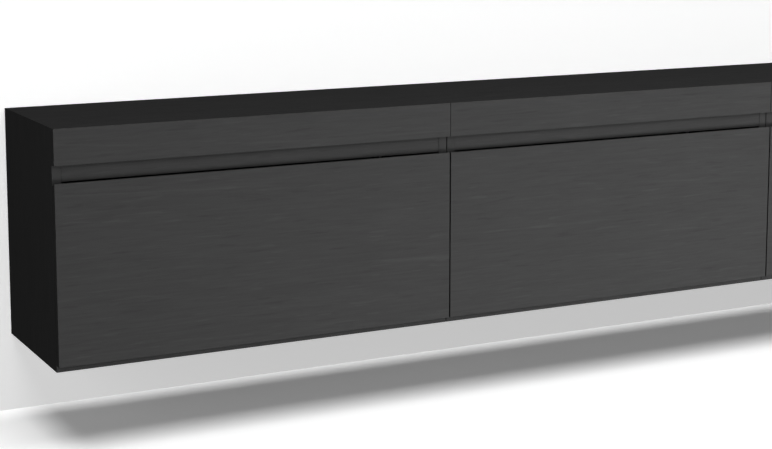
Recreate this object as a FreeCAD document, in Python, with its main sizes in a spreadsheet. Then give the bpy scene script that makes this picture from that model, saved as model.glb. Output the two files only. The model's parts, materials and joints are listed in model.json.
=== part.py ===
import FreeCAD, Part
import os
import re
import Sketcher

# A wall-hung dresser: three equal carcasses side by side under one long top board.
# Each has a fixed apron, a finger groove below it and one deep drawer on telescopic runners.
# X runs along the wall, Z is up and the wall is the plane Y = 0, so the front faces -Y.
# The origin is midway between the two screw holes of the middle wall rail.
# All sizes are in millimetres.

BAYS = 3

# Driving sizes: name, value, what it is.
SIZES = [
    ("bay_length", 900, "one carcass, outside to outside"),
    ("cabinet_depth", 365, "wall to front face"),
    ("cabinet_height", 500, "underside to top face"),
    ("panel", 19, "thickness of the carcass boards"),
    ("carcass_gap", 2, "joint between two carcasses"),
    ("apron_thick", 17, "apron, and the step from carcass edge to front face"),
    ("apron_height", 75, "apron, top to bottom"),
    ("apron_gap", 1, "joint between two aprons"),
    ("groove_height", 36, "finger groove, apron to drawer front"),
    ("grip_setback", 0.5, "grip rail behind the carcass edges"),
    ("finger_slot", 1, "drawer front's top edge to the grip rail's lower edge"),
    ("front_thick", 16, "drawer front"),
    ("front_gap", 3, "joint between two drawer fronts"),
    ("finger_bevel", 11, "bevel behind the drawer front's top edge"),
    ("reveal", 14, "carcass showing below the drawer fronts"),
    ("back_thick", 8, "back panel"),
    ("wall_recess", 18, "wall to back panel"),
    ("back_tongue", 6.5, "how far the back panel enters its grooves"),
    ("tongue_room", 0.5, "room at the bottom of a groove"),
    ("groove_play", 0.2, "groove width over board thickness"),
    ("box_wall", 15, "walls of the drawer box"),
    ("box_lift", 12, "carcass bottom to drawer box"),
    ("box_headroom", 79, "drawer box to grip rail"),
    ("box_back_room", 19, "drawer box to back panel"),
    ("rebate_depth", 5, "rebates that take the box's front and rear walls"),
    ("box_bottom_thick", 8, "bottom of the drawer box"),
    ("box_bottom_rise", 12, "lower edge of the box to its bottom board"),
    ("box_bottom_tongue", 5.5, "how far the bottom board enters its grooves"),
    ("runner_width", 12.7, "carcass side to drawer box"),
    ("runner_height", 45, "cabinet member, top to bottom"),
    ("runner_rise", 60, "lower edge of the box to the runners' middle"),
    ("runner_setback", 3, "carcass edge to the runners' front ends"),
    ("runner_metal", 1.2, "sheet of the runners"),
    ("runner_lip", 3, "turned-in lip of a runner, with its flange"),
    ("runner_play", 0.3, "running gap between two runner members"),
    ("cabinet_lip_room", 3.7, "cabinet member's lip to drawer box"),
    ("middle_lip_room", 2.3, "middle member's lip to drawer box"),
    ("drawer_flange_room", 1.6, "drawer member's flanges to the middle member's web"),
    ("screw_head_room", 0.7, "runner screw head to the middle member's web"),
    ("rail_drop", 70, "top face to the wall screws"),
    ("rail_metal", 2.5, "sheet of the wall rails and hangers"),
    ("rail_foot", 20, "wall screws to the rail's lower edge"),
    ("rail_jog", 15, "wall screws to the rail's outward step"),
    ("rail_lip", 34, "wall screws to the rail's upper edge"),
    ("rail_standoff", 6.5, "wall to the back of the rail's lip"),
    ("rail_end_room", 6, "wall rail to carcass side"),
    ("rail_hole_radius", 4, "wall screw holes"),
    ("rail_hole_inset", 100, "wall screw hole to the end of its bay"),
    ("hook_play", 0.3, "hanger hook to rail lip"),
    ("hook_drop", 12, "hanger tongue behind the rail lip"),
    ("hanger_width", 32, "hanger along the rail"),
    ("hanger_length", 50, "wall screws to the hanger's lower edge"),
    ("hanger_depth", 13, "hanger plate, wall to room"),
    ("dowel_radius", 4, "wooden dowels"),
    ("dowel_length", 30, "wooden dowels"),
    ("dowel_in_face", 12, "dowel hole in the face of a board"),
    ("dowel_room", 1, "dowel hole past the dowel's end"),
    ("dowel_inset", 40, "outer dowels to the edge of a board"),
    ("hole_play", 0.05, "radius of a hole over what fills it"),
    ("bolt_radius", 4, "sleeve of a connecting bolt"),
    ("bolt_head_radius", 7, "head of a connecting bolt"),
    ("bolt_head", 1.5, "head of a connecting bolt, thickness"),
    ("bolt_inset", 70, "connecting bolts to the carcass's edges"),
    ("screw_radius", 2, "wood screws"),
    ("screw_head_radius", 3.5, "wood screws"),
    ("screw_crown_radius", 2.4, "flat top of a wood screw's head"),
    ("short_screw_head", 1.3, "head of a runner or hanger screw, thickness"),
    ("short_screw_length", 11, "runner and hanger screws, under the head"),
    ("long_screw_head", 2.2, "head of an apron or front screw, thickness"),
    ("screw_bite", 10, "apron and front screws in the piece they hold"),
    ("pilot_room", 1, "pilot hole past the screw's end"),
    ("runner_screw_inset", 35, "outer runner screws to the runner's ends"),
    ("apron_screw_inset", 90, "outer apron screws to the grip rail's ends"),
    ("front_screw_inset", 70, "drawer front screws to the box's edges"),
    ("bumper_radius", 5, "bumpers behind the drawer fronts"),
    ("bumper_inset", 25, "bumpers to the drawer front's top and bottom"),
]

# Sizes and places that follow from the driving sizes.
DERIVED = {
    "total_length": f"{BAYS} * bay_length",
    "carcass_depth": "cabinet_depth - apron_thick",
    "underside": "rail_drop - cabinet_height",
    "floor_top": "underside + panel",
    "top_under": "rail_drop - panel",
    "front_height": "cabinet_height - apron_height - groove_height - reveal",
    "front_bottom": "underside + reveal",
    "grip_bottom": "front_bottom + front_height + finger_slot",
    "grip_height": "top_under - grip_bottom",
    "back_groove": "back_tongue + tongue_room",
    "back_slot": "back_thick + groove_play",
    "box_length": "carcass_depth - wall_recess - back_thick - box_back_room + bumper_thick",
    "box_bottom": "floor_top + box_lift",
    "box_height": "grip_bottom - box_headroom - box_bottom",
    "box_groove": "box_bottom_tongue + tongue_room",
    "box_slot": "box_bottom_thick + groove_play",
    "bumper_thick": "apron_thick - front_thick",
    "runner_level": "box_bottom + runner_rise",
    "runner_length": "box_length - bumper_thick - runner_setback",
    "cabinet_flange": "runner_width - cabinet_lip_room",
    "middle_web": "runner_metal + short_screw_head + screw_head_room",
    "middle_flange": "runner_width - middle_lip_room",
    "drawer_flange": "middle_web + runner_metal + drawer_flange_room",
    "dowel_in_end": "dowel_length - dowel_in_face + 2 * dowel_room",
    "dowel_hole": "dowel_radius + hole_play",
    "pilot_hole": "screw_radius + hole_play",
    "pilot_depth": "screw_bite + pilot_room",
    "short_pilot": "short_screw_length - runner_metal + pilot_room",
    "hook_outside": "rail_standoff + 2 * rail_metal + hook_play",
    "hook_inside": "rail_standoff - hook_play - rail_metal",
}

doc = FreeCAD.newDocument("wall_dresser")
sheet = doc.addObject("Spreadsheet::Sheet", "sizes")
for row, (name, number, meaning) in enumerate(SIZES, start=1):
    sheet.set(f"A{row}", meaning)
    sheet.set(f"B{row}", str(number))
    sheet.setAlias(f"B{row}", name)
doc.recompute()

nodes = []


# ---- Expressions -------------------------------------------------------------

def formula(text):
    # Turns the plain names in an expression into cells of the sheet.
    def cell(match):
        name = match.group()
        if name in DERIVED:
            return f"({formula(DERIVED[name])})"
        return f"sizes.{name}"
    return re.sub("[a-z][a-z_]+", cell, str(text))


def value(text):
    return float(sheet.evalExpression(formula(text)))


def bay_start(bay):
    return f"({bay} - {BAYS} / 2) * bay_length"


def ends(bay, gap):
    # Where the carcass or front of a bay starts and how long it is: flush at the cabinet's
    # ends, and half a gap short wherever it has a neighbour.
    left = 0 if bay == 0 else 1
    right = 0 if bay == BAYS - 1 else 1
    return f"{bay_start(bay)} + {left} * {gap} / 2", f"bay_length - {left + right} * {gap} / 2"


def inner_start(bay):
    return f"{ends(bay, 'carcass_gap')[0]} + panel"


def inner_end(bay):
    start, length = ends(bay, "carcass_gap")
    return f"{start} + {length} - panel"


def inner_length(bay):
    return f"({ends(bay, 'carcass_gap')[1]} - 2 * panel)"


def box_width(bay):
    return f"({inner_length(bay)} - 2 * runner_width)"


def evenly(low, high, count):
    # Expressions of places spread evenly between two others.
    return [f"({low}) + (({high}) - ({low})) * {i} / {count - 1}" for i in range(count)]


# ---- Bodies, sketches and features -----------------------------------------------

# The origin plane square to each axis, and which way along the axis its normal points.
PLANES = {"x": ("YZ_Plane", 1), "y": ("XZ_Plane", -1), "z": ("XY_Plane", 1)}


def put(thing, place):
    for axis, expression in zip("xyz", place):
        thing.setExpression(f"Placement.Base.{axis}", formula(expression))


def new_body(label, place):
    body = doc.addObject("PartDesign::Body", label)
    body.Label = label
    put(body, place)
    return body


def sketch_across(body, axis, start):
    # A sketch square to the axis, at the distance start along it.
    role, normal = PLANES[axis]
    plane = next(item for item in body.Origin.OriginFeatures if item.Role == role)
    sketch = body.newObject("Sketcher::SketchObject", f"{body.Name}_sketch")
    sketch.AttachmentSupport = [(plane, "")]
    sketch.MapMode = "FlatFace"
    sketch.setExpression("AttachmentOffset.Base.z", formula(f"{normal} * ({start})"))
    return sketch


def pin(sketch, item, point, place):
    # Holds one point of a sketch at a place bound to the sheet.
    axes = ("DistanceX", -2), ("DistanceY", -1)
    for expression, (kind, axis_line) in zip(place, axes):
        if expression == "0":
            sketch.addConstraint(Sketcher.Constraint("PointOnObject", item, point, axis_line))
            continue
        number = value(expression)
        index = sketch.addConstraint(Sketcher.Constraint(kind, -1, 1, item, point, number))
        sketch.setExpression(f"Constraints[{index}]", formula(expression))


def polygon(sketch, corners):
    first = sketch.GeometryCount
    count = len(corners)
    points = [FreeCAD.Vector(value(x), value(y), 0) for x, y in corners]
    for i, point in enumerate(points):
        sketch.addGeometry(Part.LineSegment(point, points[(i + 1) % count]))
    for i, corner in enumerate(corners):
        following = first + (i + 1) % count
        sketch.addConstraint(Sketcher.Constraint("Coincident", first + i, 2, following, 1))
        pin(sketch, first + i, 1, corner)


def rectangle(sketch, low, high):
    polygon(sketch, [low, (high[0], low[1]), high, (low[0], high[1])])


def circle(sketch, centre, radius):
    middle = FreeCAD.Vector(value(centre[0]), value(centre[1]), 0)
    up = FreeCAD.Vector(0, 0, 1)
    item = sketch.addGeometry(Part.Circle(middle, up, value(radius)))
    index = sketch.addConstraint(Sketcher.Constraint("Radius", item, value(radius)))
    sketch.setExpression(f"Constraints[{index}]", formula(radius))
    pin(sketch, item, 3, centre)


def pad(body, sketch, axis, length):
    # Pads a sketch towards the axis's positive end.
    feature = body.newObject("PartDesign::Pad", f"{body.Name}_pad")
    feature.Profile = sketch
    feature.Reversed = PLANES[axis][1] < 0
    feature.setExpression("Length", formula(length))


def pocket(body, sketch, axis, toward, depth):
    # Cuts a sketch into the body, towards the axis's positive (1) or negative (-1) end.
    feature = body.newObject("PartDesign::Pocket", f"{body.Name}_pocket")
    feature.Profile = sketch
    feature.Reversed = toward == PLANES[axis][1]
    feature.setExpression("Length", formula(depth))


def drill(body, axis, start, toward, depth, radius, spots):
    sketch = sketch_across(body, axis, start)
    for spot in spots:
        circle(sketch, spot, radius)
    pocket(body, sketch, axis, toward, depth)


def slot(body, axis, start, toward, depth, low, high):
    sketch = sketch_across(body, axis, start)
    rectangle(sketch, low, high)
    pocket(body, sketch, axis, toward, depth)


def prism(label, place, axis, length, corners):
    # A body of constant section along an axis.
    body = new_body(label, place)
    sketch = sketch_across(body, axis, "0")
    polygon(sketch, corners)
    pad(body, sketch, axis, length)
    return body


def board(label, place, size):
    corners = [("0", "0"), (size[0], "0"), (size[0], size[1]), ("0", size[1])]
    return prism(label, place, "z", size[2], corners)


def keep(thing):
    nodes.append(thing)
    return thing


def group(label, members):
    # Several like solids that share one node.
    compound = doc.addObject("Part::Compound", label)
    compound.Label = label
    compound.Links = members
    return keep(compound)


def copies(label, master, turn, places):
    # Links to a fastener, all turned the same way, one at each place.
    members = []
    for place in places:
        link = doc.addObject("App::Link", f"{label}_item")
        link.LinkedObject = master
        link.Placement.Rotation = turn
        put(link, place)
        members.append(link)
    return members


# ---- Fastener places shared by the boards and the fasteners ------------------------
# Each is given in the carcass's own frame: along from its left end, back from its front
# edge plane, and up from its underside.

def depth_stations(count):
    # Places along the depth, clear of the back panel's groove.
    far = "carcass_depth - wall_recess - back_thick - dowel_inset"
    return evenly("dowel_inset", far, count)


def floor_dowels():
    return [(back, "panel / 2") for back in depth_stations(3)]


def grip_dowels():
    middle = "grip_setback + panel / 2"
    low = "grip_bottom - underside + grip_height / 4"
    high = "grip_bottom - underside + grip_height * 3 / 4"
    return [(middle, low), (middle, high)]


def top_dowels():
    return [("panel / 2", back) for back in depth_stations(3)]


def bolt_spots():
    backs = "bolt_inset", "carcass_depth - wall_recess - back_thick - bolt_inset / 2"
    heights = "panel + bolt_inset / 2", "cabinet_height - panel - bolt_inset * 2"
    return [(back, up) for back in backs for up in heights]


def runner_spots():
    level = "runner_level - underside"
    near = "runner_setback + runner_screw_inset"
    far = "runner_setback + runner_length - runner_screw_inset"
    return [(back, level) for back in evenly(near, far, 3)]


def hanger_spots():
    back = "carcass_depth - hook_outside + rail_metal"
    heights = "hanger_length * 2 / 5", "hanger_length * 4 / 5"
    return [(back, f"0 - underside - {up}") for up in heights]


def apron_screw_places(bay):
    far = f"{inner_length(bay)} - apron_screw_inset"
    return evenly("apron_screw_inset", far, 4)


def front_screw_places(bay):
    # Along from the box's left outer face and up from its lower edge.
    alongs = evenly("front_screw_inset", f"{box_width(bay)} - front_screw_inset", 3)
    ups = "front_screw_inset", "box_height - front_screw_inset"
    return [(along, up) for along in alongs for up in ups]


# ---- Carcass -------------------------------------------------------------------

def top_panel():
    place = "0 - total_length / 2", "0 - carcass_depth", "top_under"
    corners = [
        ("panel", "0"),
        ("total_length - panel", "0"),
        ("total_length", "panel"),
        ("0", "panel"),
    ]
    body = prism("top_panel", place, "y", "carcass_depth", corners)
    groove_back = "carcass_depth - wall_recess"
    low = "panel - back_groove", f"{groove_back} - back_slot"
    high = "total_length - panel + back_groove", groove_back
    slot(body, "z", "0", 1, "back_groove", low, high)
    seats = []
    for seam in range(1, BAYS):
        for away in "- carcass_gap / 2 - panel", "+ carcass_gap / 2":
            for along, back in top_dowels():
                seats.append((f"{seam} * bay_length {away} + {along}", back))
    drill(body, "z", "0", 1, "dowel_in_face + dowel_room", "dowel_hole", seats)
    keep(body)


def side_panel(bay, side):
    # side is -1 for the left panel of a bay and 1 for the right one.
    inner_x = "panel" if side < 0 else "0"
    along = f"{inner_start(bay)} - panel" if side < 0 else inner_end(bay)
    label = f"bay_{bay + 1}_{'left' if side < 0 else 'right'}_side"
    outer_end = (bay == 0 and side < 0) or (bay == BAYS - 1 and side > 0)
    place = along, "0 - carcass_depth", "underside"
    full = "cabinet_height"
    short = "cabinet_height - panel"
    left_top = full if outer_end and side < 0 else short
    right_top = full if outer_end and side > 0 else short
    corners = [("0", "0"), ("panel", "0"), ("panel", right_top), ("0", left_top)]
    body = prism(label, place, "y", "carcass_depth", corners)
    groove_back = "carcass_depth - wall_recess"
    low = f"{groove_back} - back_slot", "panel - back_groove"
    high = groove_back, "cabinet_height - panel + back_groove"
    slot(body, "x", inner_x, side, "back_groove", low, high)
    seats = floor_dowels() + grip_dowels()
    drill(body, "x", inner_x, side, "dowel_in_face + dowel_room", "dowel_hole", seats)
    pilots = runner_spots() + hanger_spots()
    drill(body, "x", inner_x, side, "short_pilot", "pilot_hole", pilots)
    if not outer_end:
        drill(body, "x", inner_x, side, "panel", "bolt_radius + hole_play", bolt_spots())
        drill(body, "z", short, -1, "dowel_in_end", "dowel_hole", top_dowels())
    keep(body)


def floor_board(bay):
    place = inner_start(bay), "0 - carcass_depth", "underside"
    length = inner_length(bay)
    body = board(f"bay_{bay + 1}_bottom", place, (length, "carcass_depth", "panel"))
    groove_back = "carcass_depth - wall_recess"
    low = "0", f"{groove_back} - back_slot"
    high = length, groove_back
    slot(body, "z", "panel", -1, "back_groove", low, high)
    drill(body, "x", "0", 1, "dowel_in_end", "dowel_hole", floor_dowels())
    drill(body, "x", length, -1, "dowel_in_end", "dowel_hole", floor_dowels())
    keep(body)


def back_panel(bay):
    place = (
        f"{inner_start(bay)} - back_tongue",
        "0 - wall_recess - back_thick",
        "floor_top - back_tongue",
    )
    length = f"{inner_length(bay)} + 2 * back_tongue"
    height = "top_under - floor_top + 2 * back_tongue"
    keep(board(f"bay_{bay + 1}_back", place, (length, "back_thick", height)))


def grip_rail(bay):
    place = inner_start(bay), "grip_setback - carcass_depth", "grip_bottom"
    length = inner_length(bay)
    body = board(f"bay_{bay + 1}_grip_rail", place, (length, "panel", "grip_height"))
    seats = []
    for back, up in grip_dowels():
        seats.append((f"{back} - grip_setback", f"{up} - grip_bottom + underside"))
    drill(body, "x", "0", 1, "dowel_in_end", "dowel_hole", seats)
    drill(body, "x", length, -1, "dowel_in_end", "dowel_hole", seats)
    level = "rail_drop - apron_height / 2 - grip_bottom"
    spots = [(along, level) for along in apron_screw_places(bay)]
    drill(body, "y", "panel", -1, "panel", "pilot_hole", spots)
    keep(body)


def apron(bay):
    start, length = ends(bay, "apron_gap")
    place = start, "0 - cabinet_depth", "rail_drop - apron_height"
    body = board(f"bay_{bay + 1}_apron", place, (length, "apron_thick", "apron_height"))
    offset = f"{inner_start(bay)} - ({start})"
    spots = [(f"{offset} + {along}", "apron_height / 2") for along in apron_screw_places(bay)]
    drill(body, "y", "apron_thick", -1, "pilot_depth", "pilot_hole", spots)
    keep(body)


# ---- Wall fixing -----------------------------------------------------------------

def wall_rail(bay):
    # A folded strip: foot on the wall, a step outwards, and a lip that stands off the wall.
    start = f"{inner_start(bay)} + rail_end_room"
    out = "0 - rail_standoff"
    corners = [
        ("0", "0 - rail_foot"),
        ("0", "rail_jog"),
        (out, "rail_jog"),
        (out, "rail_lip"),
        (f"{out} - rail_metal", "rail_lip"),
        (f"{out} - rail_metal", "rail_jog - rail_metal"),
        ("0 - rail_metal", "rail_jog - rail_metal"),
        ("0 - rail_metal", "0 - rail_foot"),
    ]
    length = f"({inner_length(bay)} - 2 * rail_end_room)"
    body = prism(f"bay_{bay + 1}_wall_rail", (start, "0", "0"), "x", length, corners)
    near = f"{bay_start(bay)} + rail_hole_inset - ({start})"
    far = f"{bay_start(bay)} + bay_length - rail_hole_inset - ({start})"
    drill(body, "y", "0", -1, "rail_metal", "rail_hole_radius", [(near, "0"), (far, "0")])
    keep(body)


def hanger(bay, side):
    # A hook over the rail's lip, on a plate that is screwed to the carcass side.
    start = inner_start(bay) if side < 0 else f"{inner_end(bay)} - hanger_width"
    plate_start = "0" if side < 0 else "hanger_width - rail_metal"
    body = new_body(f"hanger_{bay + 1}_{'left' if side < 0 else 'right'}", (start, "0", "0"))
    hook = sketch_across(body, "x", "0")
    polygon(hook, [
        ("0 - hook_inside", "rail_lip + rail_metal"),
        ("0 - hook_outside - rail_metal", "rail_lip + rail_metal"),
        ("0 - hook_outside - rail_metal", "rail_jog"),
        ("0 - hook_outside", "rail_jog"),
        ("0 - hook_outside", "rail_lip"),
        ("0 - hook_inside - rail_metal", "rail_lip"),
        ("0 - hook_inside - rail_metal", "rail_lip - hook_drop"),
        ("0 - hook_inside", "rail_lip - hook_drop"),
    ])
    pad(body, hook, "x", "hanger_width")
    plate = sketch_across(body, "x", plate_start)
    low = "0 - hook_inside - hanger_depth", "0 - hanger_length"
    rectangle(plate, low, ("0 - hook_inside", "rail_lip + rail_metal"))
    pad(body, plate, "x", "rail_metal")
    holes = []
    for back, up in hanger_spots():
        holes.append((f"{back} - carcass_depth", f"{up} + underside"))
    drill(body, "x", plate_start, 1, "rail_metal", "pilot_hole", holes)
    return body


# ---- Drawers ---------------------------------------------------------------------

def drawer_front(bay):
    start, length = ends(bay, "front_gap")
    place = start, "0 - cabinet_depth", "front_bottom"
    corners = [
        ("0", "0"),
        ("front_thick", "0"),
        ("front_thick", "front_height - finger_bevel"),
        ("front_thick - finger_bevel", "front_height"),
        ("0", "front_height"),
    ]
    body = prism(f"drawer_{bay + 1}_front", place, "x", length, corners)
    offset = f"{inner_start(bay)} + runner_width - ({start})"
    rise = "box_bottom - front_bottom"
    spots = []
    for along, up in front_screw_places(bay):
        spots.append((f"{offset} + {along}", f"{rise} + {up}"))
    drill(body, "y", "front_thick", -1, "pilot_depth", "pilot_hole", spots)
    keep(body)


def box_corner(bay):
    # The drawer box's left, front, lower corner.
    return (
        f"{inner_start(bay)} + runner_width",
        "front_thick - cabinet_depth",
        "box_bottom",
    )


def box_side(bay, side):
    along, front, bottom = box_corner(bay)
    if side > 0:
        along = f"{along} + {box_width(bay)} - box_wall"
    label = f"drawer_{bay + 1}_{'left' if side < 0 else 'right'}_wall"
    body = board(label, (along, front, bottom), ("box_wall", "box_length", "box_height"))
    inner_x = "box_wall" if side < 0 else "0"
    outer_x = "0" if side < 0 else "box_wall"
    for near, far in ("0", "box_wall"), ("box_length - box_wall", "box_length"):
        slot(body, "x", inner_x, side, "rebate_depth", (near, "0"), (far, "box_height"))
    low = "0", "box_bottom_rise"
    high = "box_length", "box_bottom_rise + box_slot"
    slot(body, "x", inner_x, side, "box_groove", low, high)
    pilots = [(f"{back} + bumper_thick", "runner_rise") for back, level in runner_spots()]
    drill(body, "x", outer_x, -side, "short_pilot", "pilot_hole", pilots)
    keep(body)


def box_cross_wall(bay, rear):
    along, front, bottom = box_corner(bay)
    start = f"{along} + box_wall - rebate_depth"
    if rear:
        front = f"{front} + box_length - box_wall"
    label = f"drawer_{bay + 1}_{'rear_wall' if rear else 'inner_front'}"
    length = f"{box_width(bay)} - 2 * box_wall + 2 * rebate_depth"
    body = board(label, (start, front, bottom), (length, "box_wall", "box_height"))
    inner_y = "0" if rear else "box_wall"
    toward = 1 if rear else -1
    low = "0", "box_bottom_rise"
    slot(body, "y", inner_y, toward, "box_groove", low, (length, "box_bottom_rise + box_slot"))
    if not rear:
        spots = []
        for along, up in front_screw_places(bay):
            spots.append((f"{along} - box_wall + rebate_depth", up))
        drill(body, "y", "box_wall", -1, "box_wall", "pilot_hole", spots)
    keep(body)


def box_floor(bay):
    along, front, bottom = box_corner(bay)
    inset = "box_wall - box_bottom_tongue"
    place = f"{along} + {inset}", f"{front} + {inset}", f"{bottom} + box_bottom_rise"
    length = f"{box_width(bay)} - 2 * ({inset})"
    size = length, f"box_length - 2 * ({inset})", "box_bottom_thick"
    keep(board(f"drawer_{bay + 1}_bottom", place, size))


# ---- Runners ---------------------------------------------------------------------

def lipped_channel(web, edge, half):
    # Section of a channel: web and edge are places across the runner, half its half height.
    thick = "runner_metal" if value(edge) > value(web) else "0 - runner_metal"
    inner_web = f"{web} + {thick}"
    inner_edge = f"{edge} - ({thick})"
    upper = [
        (web, f"{half}"),
        (edge, f"{half}"),
        (edge, f"{half} - runner_lip"),
        (inner_edge, f"{half} - runner_lip"),
        (inner_edge, f"{half} - runner_metal"),
        (inner_web, f"{half} - runner_metal"),
    ]
    lower = [(across, f"0 - ({up})") for across, up in reversed(upper)]
    return upper + lower


def plain_channel(web, edge, half):
    inner_web = f"{web} - runner_metal"
    upper = [
        (web, f"{half}"),
        (edge, f"{half}"),
        (edge, f"{half} - runner_metal"),
        (inner_web, f"{half} - runner_metal"),
    ]
    lower = [(across, f"0 - ({up})") for across, up in reversed(upper)]
    return upper + lower


def runner_member(label, bay, side, section, hole_start):
    # The section is drawn from the carcass side towards the drawer.
    start = inner_start(bay)
    if side > 0:
        start = inner_end(bay)
        section = [(f"0 - ({across})", up) for across, up in section]
    place = start, "runner_setback - carcass_depth", "runner_level"
    body = prism(label, place, "y", "runner_length", section)
    if hole_start is not None:
        spots = [(f"{back} - runner_setback", "0") for back, level in runner_spots()]
        begin = hole_start if side < 0 else f"0 - ({hole_start})"
        drill(body, "x", begin, -side, "runner_metal", "pilot_hole", spots)
    return body


def runners(bay):
    half = "runner_height / 2"
    middle_half = f"{half} - runner_lip - runner_play"
    drawer_half = f"{middle_half} - runner_lip - runner_play"
    drawer_web = "runner_width - runner_metal"
    members = {
        f"bay_{bay + 1}_cabinet_runners": (lipped_channel("0", "cabinet_flange", half), "0"),
        f"drawer_{bay + 1}_middle_runners": (
            lipped_channel("middle_web", "middle_flange", middle_half), None),
        f"drawer_{bay + 1}_drawer_runners": (
            plain_channel("runner_width", "drawer_flange", drawer_half), drawer_web),
    }
    for label, (section, hole_start) in members.items():
        pair = []
        for side, word in (-1, "left"), (1, "right"):
            pair.append(runner_member(f"{label}_{word}", bay, side, section, hole_start))
        group(label, pair)


# ---- Fasteners -------------------------------------------------------------------

def turned(label, outline):
    # A body turned about its own Z axis from half its outline.
    body = doc.addObject("PartDesign::Body", label)
    sketch = sketch_across(body, "y", "0")
    polygon(sketch, outline)
    feature = body.newObject("PartDesign::Revolution", f"{label}_turn")
    feature.Profile = sketch
    feature.ReferenceAxis = (sketch, ["V_Axis"])
    feature.Angle = 360
    return body


def screw_master(label, length, head):
    # Head above the seat at Z = 0, shank and point below it.
    return turned(label, [
        ("0", head),
        ("screw_crown_radius", head),
        ("screw_head_radius", f"({head}) / 2"),
        ("screw_head_radius", "0"),
        ("screw_radius", "0"),
        ("screw_radius", f"screw_radius - ({length})"),
        ("0", f"0 - ({length})"),
    ])


def bolt_master():
    # A sleeve bolt through two panels, with a flat head at each end.
    reach = "panel + carcass_gap / 2"
    return turned("bolt_master", [
        ("0", f"{reach} + bolt_head"),
        ("bolt_head_radius", f"{reach} + bolt_head"),
        ("bolt_head_radius", reach),
        ("bolt_radius", reach),
        ("bolt_radius", f"0 - ({reach})"),
        ("bolt_head_radius", f"0 - ({reach})"),
        ("bolt_head_radius", f"0 - ({reach}) - bolt_head"),
        ("0", f"0 - ({reach}) - bolt_head"),
    ])


def cylinder_master(label, radius, length):
    cylinder = doc.addObject("Part::Cylinder", label)
    cylinder.setExpression("Radius", formula(radius))
    cylinder.setExpression("Height", formula(length))
    return cylinder


UPRIGHT = FreeCAD.Rotation()
TO_LEFT = FreeCAD.Rotation(FreeCAD.Vector(0, 1, 0), -90)
TO_RIGHT = FreeCAD.Rotation(FreeCAD.Vector(0, 1, 0), 90)
TO_BACK = FreeCAD.Rotation(FreeCAD.Vector(1, 0, 0), -90)


def carcass_place(along, spot):
    back, up = spot
    return along, f"{back} - carcass_depth", f"underside + {up}"


def carcass_dowels():
    master = cylinder_master("dowel_master", "dowel_radius", "dowel_length")
    lying, standing = [], []
    for bay in range(BAYS):
        for spot in floor_dowels() + grip_dowels():
            left_start = f"{inner_start(bay)} - dowel_in_face"
            right_start = f"{inner_end(bay)} + dowel_in_face - dowel_length"
            lying.append(carcass_place(left_start, spot))
            lying.append(carcass_place(right_start, spot))
    for seam in range(1, BAYS):
        for away in "- carcass_gap / 2 - panel", "+ carcass_gap / 2":
            for across, back in top_dowels():
                along = f"{bay_start(seam)} {away} + {across}"
                start = "top_under + dowel_in_face - dowel_length"
                standing.append((along, f"{back} - carcass_depth", start))
    members = copies("lying_dowel", master, TO_RIGHT, lying)
    members += copies("standing_dowel", master, UPRIGHT, standing)
    group("carcass_dowels", members)


def connecting_bolts():
    master = bolt_master()
    places = []
    for seam in range(1, BAYS):
        for spot in bolt_spots():
            places.append(carcass_place(bay_start(seam), spot))
    group("connecting_bolts", copies("connecting_bolt", master, TO_RIGHT, places))


def side_screws(label, master, spots, seat):
    # Screws driven into the carcass sides, with their heads on a plate of thickness seat.
    members = []
    for bay in range(BAYS):
        left = [carcass_place(f"{inner_start(bay)} + {seat}", spot) for spot in spots]
        right = [carcass_place(f"{inner_end(bay)} - {seat}", spot) for spot in spots]
        members += copies(f"{label}_left", master, TO_RIGHT, left)
        members += copies(f"{label}_right", master, TO_LEFT, right)
    group(label, members)


def apron_screws(master):
    places = []
    for bay in range(BAYS):
        for along in apron_screw_places(bay):
            place = (
                f"{inner_start(bay)} + {along}",
                "grip_setback + panel - carcass_depth",
                "rail_drop - apron_height / 2",
            )
            places.append(place)
    group("apron_screws", copies("apron_screw", master, TO_BACK, places))


def drawer_screws(bay, short_master, front_master):
    along, front, bottom = box_corner(bay)
    front_places = []
    for across, up in front_screw_places(bay):
        front_places.append((f"{along} + {across}", f"{front} + box_wall", f"{bottom} + {up}"))
    members = copies(f"front_screw_{bay + 1}", front_master, TO_BACK, front_places)
    for side, turn in (-1, TO_LEFT), (1, TO_RIGHT):
        face = f"{along} - runner_metal"
        if side > 0:
            face = f"{along} + {box_width(bay)} + runner_metal"
        places = []
        for back, level in runner_spots():
            places.append((face, f"{back} - carcass_depth", "runner_level"))
        members += copies(f"drawer_runner_screw_{bay + 1}", short_master, turn, places)
    group(f"drawer_{bay + 1}_screws", members)


def bumpers():
    master = cylinder_master("bumper_master", "bumper_radius", "bumper_thick")
    places = []
    ups = "front_bottom + bumper_inset", "front_bottom + front_height - bumper_inset"
    for bay in range(BAYS):
        for along in f"{inner_start(bay)} - panel / 2", f"{inner_end(bay)} + panel / 2":
            for up in ups:
                places.append((along, "0 - carcass_depth - bumper_thick", up))
    group("drawer_bumpers", copies("bumper", master, TO_BACK, places))


# ---- The whole dresser -------------------------------------------------------------

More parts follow.
